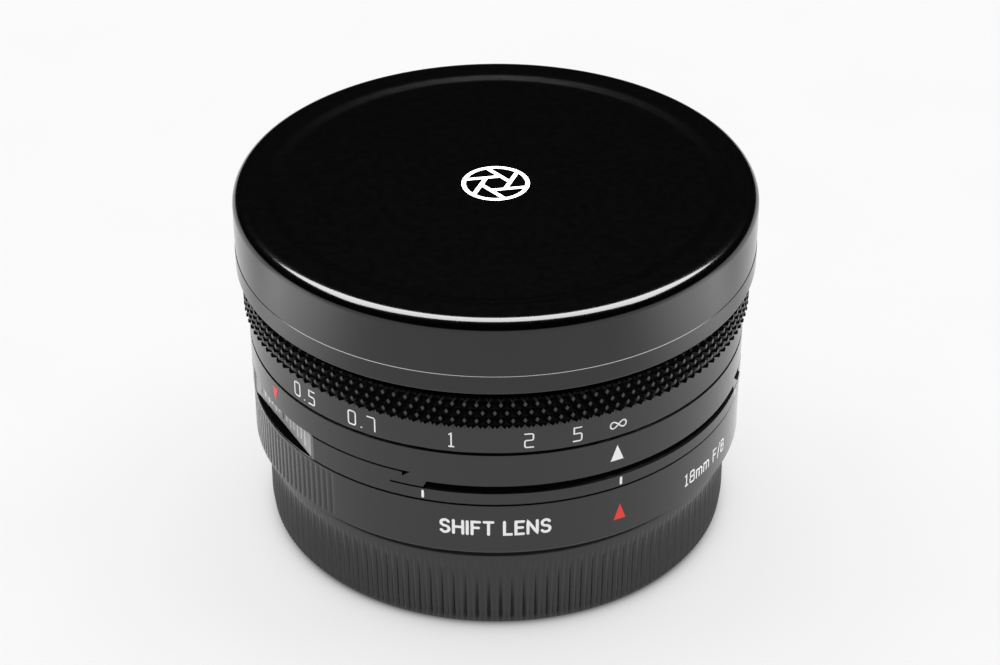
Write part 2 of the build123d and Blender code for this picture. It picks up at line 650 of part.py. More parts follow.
with BuildPart() as focus_carrier:
    revolve(band(CARRIER_INNER, CARRIER_OUTER, CARRIER_LOW, BARREL_LOW), axis=Axis.Z)
    # slots for the guide keys, with room for the key at the near end of the travel
    with BuildSketch(Plane.XY.offset(CARRIER_LOW)):
        Rectangle(2 * CARRIER_OUTER + 2, KEY_WIDTH + 2 * RUNNING)
    extrude(amount=KEY_HIGH + 0.2 - CARRIER_LOW, mode=Mode.SUBTRACT)
    with BuildSketch(Plane.XY.offset(BARREL_LOW)):
        with PolarLocations(BARREL_SCREW_CIRCLE, 4, start_angle=45):
            Circle(SCREW_HOLE)
    extrude(amount=-2.2, mode=Mode.SUBTRACT)
focus_carrier.part.label = "focus_carrier"

with BuildPart() as front_barrel:
    revolve(
        outline(
            (CELL_REGISTER, BARREL_LOW), (R_FRONT_BARREL, BARREL_LOW),
            (R_FRONT_BARREL, RIM_TOP - 0.4), (R_FRONT_BARREL - 0.4, RIM_TOP), (27.5, RIM_TOP),
            (27.2, RIM_TOP - 0.3), (27.2, PLATE_LEDGE), (26.3, PLATE_LEDGE), (26.3, DECK),
            (CELL_REGISTER, DECK),
        ),
        axis=Axis.Z,
    )
    with Locations(Plane.XY.offset(DECK)):
        with PolarLocations(BARREL_SCREW_CIRCLE, 4, start_angle=45):
            CounterSinkHole(SCREW_HOLE, BARREL_SCREW_HEAD, 2, 90)
    with BuildSketch(Plane.XY.offset(DECK)):
        with PolarLocations(CELL_SCREW_CIRCLE, 3, start_angle=90):
            Circle(0.55)
    extrude(amount=-1.2, mode=Mode.SUBTRACT)
front_barrel.part.label = "front_barrel"

front_barrel_screws = screw_set(
    "front_barrel_screws", countersunk_screw(BARREL_SCREW_HEAD, SCREW_HOLE, 0.5, 3.2),
    BARREL_SCREW_CIRCLE, 4, 45, DECK,
)

# Heights of the glass seats inside the cell
CELL_BOTTOM = 13.3
SEAT_1 = 34.5
SEAT_2 = 30.6
STOP_SEAT = 24.0
REAR_SEAT = 23.2
CELL_TOP = 38.2

with BuildPart() as lens_cell:
    revolve(
        outline(
            (8.05, CELL_BOTTOM), (11.5, CELL_BOTTOM), (11.5, 28.0), (14.2, 29.5), (14.2, DECK),
            (CELL_FLANGE, DECK), (CELL_FLANGE, CELL_FLANGE_TOP), (14.2, CELL_FLANGE_TOP),
            (14.2, CELL_TOP - 0.2), (14.0, CELL_TOP), (12.05, CELL_TOP), (12.05, SEAT_1),
            (10.0, SEAT_1), (10.0, SEAT_2), (8.8, SEAT_2), (8.8, 29.6), (7.05, 29.6),
            (7.05, STOP_SEAT), (5.5, STOP_SEAT), (5.5, REAR_SEAT), (8.05, REAR_SEAT),
        ),
        axis=Axis.Z,
    )
    with Locations(Plane.XY.offset(CELL_FLANGE_TOP)):
        with PolarLocations(CELL_SCREW_CIRCLE, 3, start_angle=90):
            CounterSinkHole(0.55, 1.0, 2, 90)
lens_cell.part.label = "lens_cell"

lens_cell_screws = screw_set(
    "lens_cell_screws", countersunk_screw(1.0, 0.55, 0.45, 2.1), CELL_SCREW_CIRCLE, 3, 90,
    CELL_FLANGE_TOP,
)

front_plate = turned(
    "front_plate",
    (12.4, 38.35), (14.2, 38.35), (25.6, PLATE_LEDGE), (27.15, PLATE_LEDGE), (27.15, 40.4),
    (26.2, 40.4), (12.4, 39.0),
)

front_element = glass("front_element", 12.0, SEAT_1, 37.1, 26, 18, 11.4, 11.4)
front_element_ring = turned_ring("front_element_ring", 11.45, 12.02, 37.12, CELL_TOP)
second_element = glass("second_element", 9.95, SEAT_2, 33.4, 16, 12.5, 9.3, 9.3)
second_element_ring = turned_ring("second_element_ring", 9.35, 9.98, 33.42, 34.4)
third_element = glass("third_element", 7.0, 26.6, 27.6, 12, -20, 6.4, 6.4)
third_element_ring = turned_ring("third_element_ring", 6.45, 7.03, 27.62, 28.8)
stop_spacer = turned_ring("stop_spacer", 6.45, 7.0, 24.3, 26.6)
aperture_stop = turned_ring("aperture_stop", 1.15, 7.0, STOP_SEAT, 24.3)
fourth_element = glass("fourth_element", 8.0, 20.4, REAR_SEAT, 30, -12, 5.4, 7.4)
fifth_element = glass("fifth_element", 8.0, 16.6, 20.4, -12, -30, 7.4, 7.4)
rear_spacer = turned_ring("rear_spacer", 7.45, 8.0, 15.4, 16.6)
rear_element = glass("rear_element", 8.0, 14.1, 15.4, -14, -9.5, 7.4, 7.4)
rear_element_ring = turned_ring("rear_element_ring", 7.45, 8.03, CELL_BOTTOM, 14.08)

# ---------------------------------------------------------------- front cap
CAP_BORE = 29.0
CAP_CEILING = 42.3
CAP_RECESS_RIM = 26.5
CAP_RECESS_FLOOR = 25.2
CAP_RECESS = 0.28
SIDE_LINE = Z_CAP + 2.4

with BuildPart() as front_cap:
    revolve(
        outline(
            (0, CAP_CEILING), (CAP_BORE, CAP_CEILING), (CAP_BORE, Z_CAP), (R_CAP - 0.3, Z_CAP),
            (R_CAP, Z_CAP + 0.3), (R_CAP, SIDE_LINE - 0.1), (R_CAP - 0.15, SIDE_LINE),
            (R_CAP, SIDE_LINE + 0.1), (R_CAP, Z_TOP), (CAP_RECESS_RIM, Z_TOP),
            (CAP_RECESS_FLOOR, Z_TOP - CAP_RECESS), (0, Z_TOP - CAP_RECESS),
        ),
        axis=Axis.Z,
    )
    rim = front_cap.edges().filter_by(GeomType.CIRCLE).group_by(Axis.Z)[-1].sort_by(SortBy.RADIUS)[-1]
    fillet(rim, Z_TOP - Z_CAP_SHOULDER)
front_cap.part.label = "front_cap"

cap_felt = turned_ring("cap_felt", R_FRONT_BARREL + 0.06, CAP_BORE, 35.0, 38.5)

# ---------------------------------------------------------------- files
pieces = [
    rear_cap, mount_body, bayonet_flange, flange_screws, rear_baffle, baffle_screws, thrust_washer,
    detent_ball, detent_spring, detent_screw, rotator_ring, rotator_retainer, gib_strip, gib_screws,
    light_seal, shift_stage, focus_stop_pin, guide_sleeve, guide_sleeve_screws, guide_keys,
    guide_key_screws, focus_ring, focus_nut, focus_nut_screws, focus_carrier, front_barrel,
    front_barrel_screws, lens_cell, lens_cell_screws, front_plate, front_element,
    front_element_ring, second_element, second_element_ring, third_element, third_element_ring,
    stop_spacer, aperture_stop, fourth_element, fifth_element, rear_spacer, rear_element,
    rear_element_ring, front_cap, cap_felt,
]
os.makedirs("parts", exist_ok=True)
for piece in pieces:
    export_step(piece.part, f"parts/{piece.part.label}.step")
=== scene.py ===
import math

import bpy
from mathutils import Matrix, Vector


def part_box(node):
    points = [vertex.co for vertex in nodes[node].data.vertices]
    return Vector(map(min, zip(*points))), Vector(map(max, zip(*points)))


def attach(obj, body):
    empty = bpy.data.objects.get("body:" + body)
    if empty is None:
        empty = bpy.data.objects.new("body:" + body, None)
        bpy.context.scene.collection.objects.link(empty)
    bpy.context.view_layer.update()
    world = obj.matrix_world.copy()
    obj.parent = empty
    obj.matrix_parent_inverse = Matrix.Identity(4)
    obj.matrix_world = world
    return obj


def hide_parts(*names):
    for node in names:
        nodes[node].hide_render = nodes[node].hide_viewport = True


# Lengths are in millimetres until a mesh is made. Angles round the axis are in degrees from
# the painted index marks at -Y, positive towards +X.
MM = 0.001
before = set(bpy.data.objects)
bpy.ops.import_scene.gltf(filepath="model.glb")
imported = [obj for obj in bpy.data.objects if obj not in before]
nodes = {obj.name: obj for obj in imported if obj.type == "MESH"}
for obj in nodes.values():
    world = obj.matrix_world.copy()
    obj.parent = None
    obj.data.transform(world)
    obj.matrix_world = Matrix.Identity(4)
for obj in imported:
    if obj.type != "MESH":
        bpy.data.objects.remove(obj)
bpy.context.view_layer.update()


def extent(node):
    """Radius, lowest and highest point of a turned CAD node."""
    low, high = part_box(node)
    return high.y / MM, low.z / MM, high.z / MM


REAR_R, REAR_LOW, REAR_TOP = extent("rear_cap")
BODY_R, BODY_LOW, BODY_TOP = extent("mount_body")
TURN_R, _, TURN_TOP = extent("rotator_ring")
STAGE_R = extent("shift_stage")[0]
GRIP_R, FOCUS_LOW, FOCUS_TOP = extent("focus_ring")
CAP_R, CAP_LOW, CAP_TOP = extent("front_cap")
FACET_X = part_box("rotator_ring")[0].x / MM

# Marks: which way the upper and the lower rings happen to be turned
UPPER_MARKS = -0.5
LOWER_MARKS = 0.6
PAINT = 0.012           # thickness of the paint that stands proud
PAINT_SINK = 0.03       # how deep a painted stroke reaches into the metal
PAINT_STEP = 0.0015     # extra height of each later stroke, where strokes cross
PAINT_STEPS = 7         # the extra height starts again after this many strokes

# Camera
AZIMUTH = -27.9
ELEVATION = 29.93       # of the camera above the middle of the cap's rim plane
AIM_HEIGHT = 42.59
DISTANCE = 324.0
PITCH = 32.90
YAW = -0.09
ROLL = -0.2
FOCAL = 100.8


# ---------------------------------------------------------------- finishes
BUMP_DEPTH = 0.00002    # metres
TURNED_DEPTH = 0.00001
TURNED_GRAIN = 9000.0


def finish(name, dark, light, roughness, grain=900.0, bump=0.0, bump_grain=4000.0,
           turned=0.0, metallic=0.0, ior=1.5, **constants):
    """A procedural finish: colour and roughness vary with a noise, and a finer noise, or fine
    turning lines, lift the surface."""
    material = bpy.data.materials.new(name)
    material.use_nodes = True
    tree = material.node_tree
    link = tree.links.new
    shader = tree.nodes["Principled BSDF"]
    place = tree.nodes.new("ShaderNodeTexCoord").outputs["Object"]
    mottle = tree.nodes.new("ShaderNodeTexNoise")
    mottle.inputs["Scale"].default_value = grain
    mottle.inputs["Detail"].default_value = 4.0
    link(place, mottle.inputs["Vector"])
    shade = tree.nodes.new("ShaderNodeValToRGB")
    shade.color_ramp.elements[0].position = 0.3
    shade.color_ramp.elements[1].position = 0.7
    shade.color_ramp.elements[0].color = (*dark, 1)
    shade.color_ramp.elements[1].color = (*light, 1)
    link(mottle.outputs["Fac"], shade.inputs["Fac"])
    link(shade.outputs["Color"], shader.inputs["Base Color"])
    gloss = tree.nodes.new("ShaderNodeMapRange")
    gloss.inputs["To Min"].default_value = roughness * 0.85
    gloss.inputs["To Max"].default_value = roughness * 1.15
    link(mottle.outputs["Fac"], gloss.inputs["Value"])
    link(gloss.outputs["Result"], shader.inputs["Roughness"])
    lifted = None
    if bump:
        fine = tree.nodes.new("ShaderNodeTexNoise")
        fine.inputs["Scale"].default_value = bump_grain
        link(place, fine.inputs["Vector"])
        lifted = tree.nodes.new("ShaderNodeBump")
        lifted.inputs["Distance"].default_value = BUMP_DEPTH
        lifted.inputs["Strength"].default_value = bump
        link(fine.outputs["Fac"], lifted.inputs["Height"])
    if turned:
        flat = tree.nodes.new("ShaderNodeVectorMath")
        flat.operation = "MULTIPLY"
        flat.inputs[1].default_value = (1, 1, 0)
        link(place, flat.inputs[0])
        radius = tree.nodes.new("ShaderNodeVectorMath")
        radius.operation = "LENGTH"
        link(flat.outputs["Vector"], radius.inputs[0])
        parts = tree.nodes.new("ShaderNodeSeparateXYZ")
        link(place, parts.inputs[0])
        across = tree.nodes.new("ShaderNodeCombineXYZ")
        link(radius.outputs["Value"], across.inputs["X"])
        link(parts.outputs["Z"], across.inputs["Y"])
        lines = tree.nodes.new("ShaderNodeTexNoise")
        lines.inputs["Scale"].default_value = TURNED_GRAIN
        lines.inputs["Detail"].default_value = 1.0
        link(across.outputs["Vector"], lines.inputs["Vector"])
        cut = tree.nodes.new("ShaderNodeBump")
        cut.inputs["Distance"].default_value = TURNED_DEPTH
        cut.inputs["Strength"].default_value = turned
        link(lines.outputs["Fac"], cut.inputs["Height"])
        if lifted:
            link(lifted.outputs["Normal"], cut.inputs["Normal"])
        lifted = cut
    if lifted:
        link(lifted.outputs["Normal"], shader.inputs["Normal"])
    shader.inputs["Metallic"].default_value = metallic
    shader.inputs["IOR"].default_value = ior
    for socket, value in constants.items():
        shader.inputs[socket.replace("_", " ")].default_value = value
    return material


def grey(value):
    return (value, value, value)


anodised = finish(
    "anodised satin", grey(0.0005), grey(0.0009), 0.24, bump=0.12, turned=0.12, ior=1.6,
    Sheen_Weight=0.22, Sheen_Roughness=0.3,
)
cap_black = finish(
    "cap satin", grey(0.0001), grey(0.0002), 0.14, bump=0.05, turned=0.06, ior=1.54,
)
knurl_black = finish("grip satin", grey(0.0005), grey(0.0009), 0.22, bump=0.12, ior=1.62)
moulded = finish("moulded black", grey(0.0015), grey(0.003), 0.3, bump=0.3, bump_grain=2500.0, ior=1.6)
flocked = finish("flocked black", grey(0.004), grey(0.008), 0.8, bump=0.6, bump_grain=6000.0)
felt_black = finish("felt", grey(0.006), grey(0.02), 0.95, bump=1.0, bump_grain=5000.0)
# Painted shade for the gap under the turning ring: a black that reflects almost nothing
gap_shade_black = finish(
    "painted gap shade", grey(0.0004), grey(0.0008), 0.8, bump=0.5, ior=1.3, Specular_IOR_Level=0.05,
)
chrome = finish("satin chrome", grey(0.55), grey(0.62), 0.22, turned=0.4, metallic=1.0)
steel = finish("steel", grey(0.42), grey(0.52), 0.25, bump=0.2, metallic=1.0)
black_steel = finish("black steel", grey(0.012), grey(0.02), 0.35, bump=0.3)
brass = finish("brass", (0.62, 0.42, 0.16), (0.7, 0.5, 0.2), 0.3, turned=0.3, metallic=1.0)
bronze = finish("bronze", (0.5, 0.28, 0.12), (0.56, 0.34, 0.16), 0.33, turned=0.3, metallic=1.0)
white_paint = finish("white paint", grey(0.86), grey(0.9), 0.45, bump=0.3)
red_paint = finish("red paint", (0.75, 0.022, 0.014), (0.8, 0.03, 0.02), 0.4, bump=0.3)
light_grey_flat = finish("light grey flat", grey(0.3), grey(0.34), 0.4, bump=0.3)
coated_glass = finish(
    "coated glass", grey(0.97), grey(1.0), 0.01, ior=1.62,
    Transmission_Weight=1.0, Thin_Film_Thickness=320.0, Thin_Film_IOR=1.38,
)

BY_SLOT = {
    "black_anodised": anodised,
    "cap_metal": cap_black,
    "cap_plastic": moulded,
    "chromed_brass": chrome,
    "baffle_plastic": flocked,
    "steel": steel,
    "black_steel": black_steel,
    "brass": brass,
    "felt": felt_black,
    "bronze": bronze,
    "glass": coated_glass,
}
for node in nodes.values():
    for index, old in enumerate(list(node.data.materials)):
        node.data.materials[index] = BY_SLOT[old.name.split(".")[0]]


# ---------------------------------------------------------------- mesh helpers
def solid(name, points, faces, body, slot, material, replaced=(), crease=30.0):
    """A closed mesh from points in millimetres; it shades smoothly up to the crease angle."""
    mesh = bpy.data.meshes.new(name)
    mesh.from_pydata([(x * MM, y * MM, z * MM) for x, y, z in points], [], faces)
    mesh.update()
    mesh.shade_smooth()
    mesh.set_sharp_from_angle(angle=math.radians(crease))
    mesh.materials.append(material)
    made = bpy.data.objects.new(name, mesh)
    bpy.context.scene.collection.objects.link(made)
    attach(made, body)
    if replaced:
        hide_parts(*replaced)
    return made


def soften(corners, steps=5, support=0.05):
    """Rounds the corners of a section. Each corner is (radius, height, rounding). A point on
    each side of a rounding keeps the flats flat."""
    section = []
    count = len(corners)
    for index, (radius, height, rounding) in enumerate(corners):
        here = Vector((radius, height))
        if not rounding:
            section.append((radius, height))
            continue
        before = Vector(corners[index - 1][:2])
        after = Vector(corners[(index + 1) % count][:2])
        along = (here - before).normalized()
        away = (after - here).normalized()
        turn = math.atan2(along.cross(away), along.dot(away))
        reach = rounding * math.tan(abs(turn) / 2)
        start = here - along * reach
        normal = Vector((-along.y, along.x)) * math.copysign(1, turn)
        centre = start + normal * rounding
        section.append(tuple(start - along * support))
        for step in range(steps + 1):
            spoke = start - centre
            spoke.rotate(Matrix.Rotation(turn * step / steps, 2))
            section.append(tuple(centre + spoke))
        section.append(tuple(here + away * (reach + support)))
    return section


def around(angle, radius, height):
    """A point at an angle from the index marks."""
    turn = math.radians(angle)
    return (radius * math.sin(turn), -radius * math.cos(turn), height)


def lathe(section, angles, depths=None, fade=None):
    """Points and faces of a section turned about the axis. A column's depth times the row's
    fade is taken off the radius."""
    points, rows, faces = [], [], []
    for radius, height in section:
        first = len(points)
        if radius == 0:
            points.append((0, 0, height))
            rows.append([first] * len(angles))
            continue
        share = fade(radius, height) if fade else 0
        for column, angle in enumerate(angles):
            cut = depths[column] * share if share else 0
            points.append(around(angle, radius - cut, height))
        rows.append(list(range(first, first + len(angles))))
    for here, above in zip(rows, rows[1:] + rows[:1]):
        if here[0] == here[1] and above[0] == above[1]:
            continue
        for column in range(len(angles)):
            beside = (column + 1) % len(angles)
            corners = [here[column], here[beside], above[beside], above[column]]
            faces.append(list(dict.fromkeys(corners)))
    return points, faces


def even(count):
    return [360 * index / count for index in range(count)]


def sector(angle, width, inner, outer, low, high, steps=24):
    """Points and faces of a closed block that follows the axis: a bayonet lug."""
    points, faces = [], []
    for step in range(steps + 1):
        at = angle - width / 2 + width * step / steps
        points += [around(at, inner, low), around(at, outer, low)]
        points += [around(at, outer, high), around(at, inner, high)]
    for step in range(steps):
        base = 4 * step
        for side in range(4):
            near = base + side
            far = base + (side + 1) % 4
            faces.append([near, near + 4, far + 4, far])
    faces.append([0, 1, 2, 3])
    last = 4 * steps
    faces.append([last + 3, last + 2, last + 1, last])
    return points, faces


def joined(*shells):
    """Several closed shells as one mesh."""
    points, faces = [], []
    for more_points, more_faces in shells:
        start = len(points)
        points += more_points
        faces += [[start + index for index in face] for face in more_faces]
    return points, faces


# ---------------------------------------------------------------- rear cap
RIB_COUNT = 126
RIB_STEPS = 12          # columns over one pitch, which holds a main and a lesser groove
RIB_DEPTH = 0.3         # at the bottom edge; the ribs run out towards the top
LESSER_DEPTH = 0.21
RIB_FOOT, RIB_LOW, RIB_HIGH = 0.35, 0.9, 9.0
RIB_GROWTH = 0.3        # power by which the depth grows downwards
REAR_BORE = 24.6
REAR_FLOOR = 1.6
FOOT_RING = 21.4        # inner radius of the ring the lens stands on
FOOT_RECESS = 0.4
SHOULDER_RISE, SHOULDER_DROP = 1.3, 0.6
LUG_ANGLE, LUG_R, LUG_LOW, LUG_HIGH = 44, 22.1, 9.0, 10.2

rib_angles = []
rib_depths = []
for rib in range(RIB_COUNT):
    for step in range(RIB_STEPS):
        share = step / RIB_STEPS
        depth = RIB_DEPTH if share < 0.25 or share > 0.75 else LESSER_DEPTH
        rib_angles.append(90 + 360 * (rib + share) / RIB_COUNT)
        rib_depths.append(depth * (1 + math.cos(4 * math.pi * share)) / 2)


def rib_fade(radius, height):
    """Share of the rib depth: it grows from the top of the ribs to the bottom edge."""
    if radius < REAR_BORE + 1:
        return 0
    drop = (RIB_HIGH - height) / (RIB_HIGH - RIB_LOW)
    foot = (height - RIB_FOOT) / (RIB_LOW - RIB_FOOT)
    return max(0, min(1, drop ** RIB_GROWTH if drop > 0 else 0, foot))


rib_rows = [(REAR_R, RIB_HIGH - drop, 0) for drop in (5.0, 2.4, 1.0, 0.4, 0.0)]
rear_section = soften([
    (0, FOOT_RECESS, 0), (21.0, FOOT_RECESS, 0.1), (FOOT_RING, REAR_LOW, 0.1),
    (REAR_R - 0.9, REAR_LOW, 0.5), (REAR_R - 0.2, RIB_LOW, 0.6), (REAR_R, 2.6, 1.5), *rib_rows,
    (REAR_R, REAR_TOP - SHOULDER_RISE, 0.6), (REAR_R - SHOULDER_DROP, REAR_TOP, 0.3),
    (REAR_BORE, REAR_TOP, 0.15), (REAR_BORE, REAR_FLOOR, 0.3), (0, REAR_FLOOR, 0),
])
shells = [lathe(rear_section, rib_angles, rib_depths, rib_fade)]
for lug in (0, 120, 240):
    shells.append(sector(180 + lug, LUG_ANGLE, LUG_R, REAR_BORE + 0.3, LUG_LOW, LUG_HIGH))
solid("rear_cap_moulding", *joined(*shells), "rear_cap", "cap_plastic", moulded, ["rear_cap"])

# ---------------------------------------------------------------- fixed mount ring
PAD_GROOVES = 25
PAD_PITCH = 1.8
PAD_DEPTH = 0.12
PAD_LOW = BODY_LOW + 0.75
PAD_HIGH = BODY_TOP - 0.35
PAD_FADE = 0.25
# offset from a groove's middle, and the share of the depth there
PAD_PROFILE = (
    (-0.34, 0.0), (-0.25, 0.08), (-0.15, 0.55), (0.0, 1.0), (0.15, 0.55), (0.25, 0.08), (0.34, 0.0),
)
PLAIN_STEPS = 72        # columns over each stretch between the grips
FOOT_BEVEL = 0.45
BODY_BORE, BODY_SKIRT = 24.04, 28.4

body_angles = []
body_depths = []
pad_span = PAD_PITCH * (PAD_GROOVES + 1) / 2
for side in (90, 270):
    for groove in range(PAD_GROOVES):
        middle = side + (groove - (PAD_GROOVES - 1) / 2) * PAD_PITCH
        for offset, depth in PAD_PROFILE:
            body_angles.append(middle + math.degrees(offset / BODY_R))
            body_depths.append(PAD_DEPTH * depth)
    plain = 180 - 2 * pad_span
    for step in range(PLAIN_STEPS + 1):
        body_angles.append(side + pad_span + plain * step / PLAIN_STEPS)
        body_depths.append(0)


def pad_fade(radius, height):
    """Groove depth of the side grips, running out at both ends."""
    if radius < BODY_R - 0.6:
        return 0
    return max(0, min(1, (height - PAD_LOW) / PAD_FADE, (PAD_HIGH - height) / PAD_FADE))


body_section = soften([
    (BODY_SKIRT, BODY_LOW, 0), (BODY_R - FOOT_BEVEL, BODY_LOW, 0.08),
    (BODY_R, BODY_LOW + FOOT_BEVEL, 0.08),
    (BODY_R, PAD_LOW, 0), (BODY_R, PAD_LOW + PAD_FADE, 0), (BODY_R, PAD_HIGH - PAD_FADE, 0),
    (BODY_R, PAD_HIGH, 0), (BODY_R, BODY_TOP, 0.18), (BODY_BORE, BODY_TOP, 0.1),
    (BODY_BORE, 15.3, 0), (25.7, 15.3, 0), (25.7, 12.9, 0), (BODY_SKIRT, 12.9, 0),
])
body_ring = solid(
    "mount_body_ring", *lathe(body_section, body_angles, body_depths, pad_fade),
    "mount_body", "black_anodised", anodised, ["mount_body"],
)
# its top face, the track the turning ring runs on, is painted shade: a dull black that reflects almost
# nothing, so the gap under the turning ring shows black
body_ring.data.materials.append(gap_shade_black)
for polygon in body_ring.data.polygons:
    if polygon.normal.z > 0.9 and polygon.center.z > (BODY_TOP - 0.1) * MM:
        polygon.material_index = 1

# ---------------------------------------------------------------- focus ring with its knurled grip
KNURL_COLUMNS = 280     # half pitches round the ring
KNURL_ROWS = 4
KNURL_FIRST = 0.4       # height of the first row of tips above the grip's lower edge
KNURL_STEP = 1.05
GRIP_EDGE = 28.85
VALLEY_R = 29.05
TIP_HALF = 0.23         # half width of a tip's flat
TIP_RISE = 0.33         # half height of a tip's flat
TIP_FOOT = 0.12         # the lowest tips are cut off this far below their middles
RUN_OUT = 0.5           # where the valleys run out into the band below

ring_points = []
ring_faces = []


def ring_point(column, radius, height):
    ring_points.append(around(360 * column / KNURL_COLUMNS, radius, height))
    return len(ring_points) - 1


tip_share = TIP_HALF / (2 * math.pi * GRIP_R / KNURL_COLUMNS)
first_row = GRIP_EDGE + KNURL_FIRST
columns = range(KNURL_COLUMNS)
lows, tips = {}, {}
for row in range(KNURL_ROWS):
    height = first_row + row * KNURL_STEP
    for column in columns:
        if (column + row) % 2:
            lows[column, row] = ring_point(column, VALLEY_R, height)
            continue
        foot = TIP_FOOT if row == 0 else TIP_RISE
        tips[column, row] = {
            "left": ring_point(column - tip_share, GRIP_R, height),
            "right": ring_point(column + tip_share, GRIP_R, height),
            "top": ring_point(column, GRIP_R, height + TIP_RISE),
            "foot": ring_point(column, GRIP_R, height - foot),
        }
# lower edge: a small step under each tip, and valleys that run out into the smooth band
steps_under, mids, outs, band_row = {}, {}, {}, []
for column in columns:
    band_row.append(ring_point(column, STAGE_R, first_row - RUN_OUT - 0.06))
    if column % 2:
        outs[column] = ring_point(column, STAGE_R, first_row - RUN_OUT)
    else:
        steps_under[column] = ring_point(column, STAGE_R, first_row - TIP_FOOT - 0.04)
        for side in (-1, 1):
            mids[column, side] = ring_point(
                column + 0.6 * side, STAGE_R, first_row - TIP_FOOT - 0.02
            )
# upper edge: the tips are bevelled and the valleys run out at the top
crest, gaps = {}, {}
last = KNURL_ROWS - 1
for column in columns:
    is_tip = (column + last) % 2 == 0
    crest[column] = ring_point(column, GRIP_R - 0.25 if is_tip else GRIP_R - 0.45, FOCUS_TOP)
    gaps[column] = ring_point(column + 0.5, VALLEY_R, FOCUS_TOP)

for (column, row), tip in tips.items():
    left = (column - 1) % KNURL_COLUMNS
    right = (column + 1) % KNURL_COLUMNS
    left_low, right_low = lows[left, row], lows[right, row]
    ring_faces.append([tip["left"], tip["foot"], tip["right"], tip["top"]])
    if row == 0:
        near, far = mids[column, -1], mids[column, 1]
        under = steps_under[column]
        ring_faces.append([left_low, near, tip["foot"], tip["left"]])
        ring_faces.append([tip["foot"], far, right_low, tip["right"]])
        ring_faces.append([near, under, tip["foot"]])
        ring_faces.append([under, far, tip["foot"]])
        ring_faces.append([left_low, outs[left], near])
        ring_faces.append([far, outs[right], right_low])
        ring_faces.append([outs[left], band_row[left], band_row[column], under, near])
        ring_faces.append([under, band_row[column], band_row[right], outs[right], far])
    else:
        below = lows[column, row - 1]
        ring_faces.append([left_low, below, tip["foot"], tip["left"]])
        ring_faces.append([tip["foot"], below, right_low, tip["right"]])
    if row == last:
        near, far = gaps[left], gaps[column]
        ring_faces.append([left_low, tip["left"], tip["top"], near])
        ring_faces.append([tip["top"], tip["right"], right_low, far])
        ring_faces.append([near, tip["top"], crest[column]])
        ring_faces.append([tip["top"], far, crest[column]])
        ring_faces.append([right_low, crest[right], far])
        ring_faces.append([left_low, near, crest[left]])
    else:
        over = lows[column, row + 1]
        ring_faces.append([left_low, tip["left"], tip["top"], over])
        ring_faces.append([tip["top"], tip["right"], right_low, over])

# the rest of the ring's section, from the band down, under, up the bore and out along the top
ring_section = soften([
    (28.6, FOCUS_TOP, 0), (28.3, FOCUS_TOP, 0), (28.3, FOCUS_TOP - 1, 0), (27.0, FOCUS_TOP - 1, 0),
    (27.0, FOCUS_LOW, 0.1), (STAGE_R, FOCUS_LOW, 0.2), (STAGE_R, GRIP_EDGE - 0.4, 0),
])
rows = []
for radius, height in ring_section:
    rows.append([ring_point(column, radius, height) for column in columns])
for here, above in zip(rows, rows[1:] + [band_row]):
    for column in columns:
        beside = (column + 1) % KNURL_COLUMNS
        ring_faces.append([here[column], here[beside], above[beside], above[column]])
for column in columns:
    beside = (column + 1) % KNURL_COLUMNS
    inner = rows[0]
    ring_faces.append([crest[column], gaps[column], crest[beside], inner[beside], inner[column]])
solid(
    "focus_ring_knurled", ring_points, ring_faces, "focus_ring", "black_anodised",
    knurl_black, ["focus_ring"], crease=18.0,
)

# ---------------------------------------------------------------- front cap
CAP_SEAM = CAP_LOW + 2.4
SEAM_STEP = 0.05        # the seam is a small step with a bevelled edge
SEAM_RISE = 0.03
CAP_WALL = 29.0
CAP_CEILING = 42.3
RECESS_RIM = 26.5
RECESS_FLOOR = 25.2
RECESS = 0.28
cap_section = soften([
    (0, CAP_CEILING, 0), (CAP_WALL, CAP_CEILING, 0.3), (CAP_WALL, CAP_LOW, 0.15),
    (CAP_R, CAP_LOW, 0.3), (CAP_R, CAP_SEAM - SEAM_RISE, 0), (CAP_R - SEAM_STEP, CAP_SEAM, 0),
    (CAP_R - SEAM_STEP, CAP_SEAM + 0.15, 0), (CAP_R, CAP_SEAM + 3, 0), (CAP_R, CAP_TOP, 1.4),
    (RECESS_RIM, CAP_TOP, 2.5), (RECESS_FLOOR, CAP_TOP - RECESS, 2.5), (0, CAP_TOP - RECESS, 0),
], steps=8, support=0.03)
solid(
    "front_cap_turned", *lathe(cap_section, even(360)), "front_cap", "cap_metal",
    cap_black, ["front_cap"],
)


# ---------------------------------------------------------------- painted marks
def on_ring(radius):
    """A wrap that lays (along, up) on a cylinder, along being an arc length from the index."""
    def wrap(along, up, lift):
        return around(math.degrees(along / radius), radius + lift, up)
    return wrap


def on_facet(along, up, lift):
    """A wrap that lays (along, up) on the flat of the turning ring."""
    return (FACET_X - lift, -along, up)


def on_cap(along, up, lift):
    """A wrap that lays a drawing on the floor of the cap's recess, upright for the camera."""
    turn = math.radians(AZIMUTH)
    x = along * math.cos(turn) - up * math.sin(turn)
    y = along * math.sin(turn) + up * math.cos(turn)
    return (x, y, CAP_TOP - RECESS + lift)


def slab(paint, sections, wrap, closed=False):
    """Adds a thin closed slab to the paint's points and faces; a section is a row of points
    across the stroke."""
    points, faces, strokes = paint
    extra = 1 + strokes[0] % PAINT_STEPS if strokes[0] else 0
    lift = PAINT + PAINT_STEP * extra
    strokes[0] += 1
    width = len(sections[0])
    base = len(points)
    for section in sections:
        points += [wrap(along, up, lift) for along, up in section]
        points += [wrap(along, up, -PAINT_SINK) for along, up in reversed(section)]
    size = 2 * width
    count = len(sections)
    for index in range(count if closed else count - 1):
        here = base + index * size
        there = base + (index + 1) % count * size
        for side in range(size):
            beside = (side + 1) % size
            faces.append([here + side, here + beside, there + beside, there + side])
    if not closed:
        faces.append([base + side for side in reversed(range(size))])
        faces.append([base + (count - 1) * size + side for side in range(size)])


